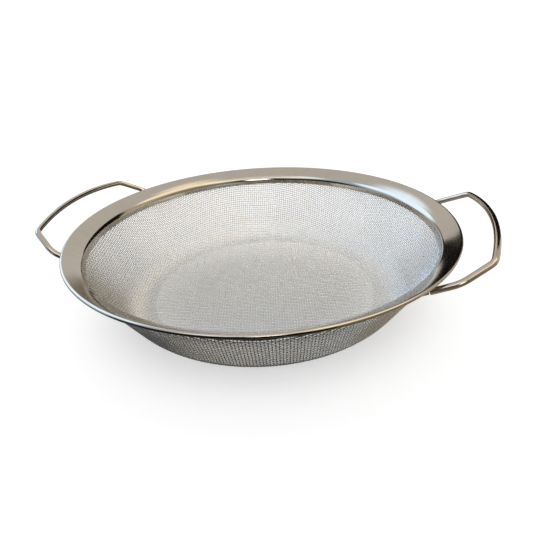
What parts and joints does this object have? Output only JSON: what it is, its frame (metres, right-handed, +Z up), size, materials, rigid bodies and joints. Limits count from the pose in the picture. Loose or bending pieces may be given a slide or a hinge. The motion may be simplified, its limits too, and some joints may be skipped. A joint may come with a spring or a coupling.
{
  "type": "flat-bottom sieve",
  "caption": "Round flat-bottom sieve: a pressed bowl of woven wire cloth clamped in a flanged steel rim with a rolled bead, with bent-wire loop handles on opposite sides.",
  "frame": {"origin": "centre of the flat base, on the surface that the sieve stands on", "axes": "+Z up through the middle of the rim, +X out through the middle of one handle, +Y across"},
  "size_m": [0.295, 0.26, 0.0664],
  "materials": {
    "cloth_steel": "bright drawn wire, plain weave",
    "rim_steel": "polished sheet steel",
    "ring_steel": "satin sheet steel",
    "handle_steel": "polished round wire",
    "lug_steel": "satin plate, welded"
  },
  "bodies": {
    "root": {"mesh_bowl": "cloth_steel", "rim": "rim_steel", "clamp_ring": "ring_steel", "handle_right": "handle_steel", "handle_left": "handle_steel", "lug_right_front": "lug_steel", "lug_right_back": "lug_steel", "lug_left_front": "lug_steel", "lug_left_back": "lug_steel"}
  },
  "joints": []
}
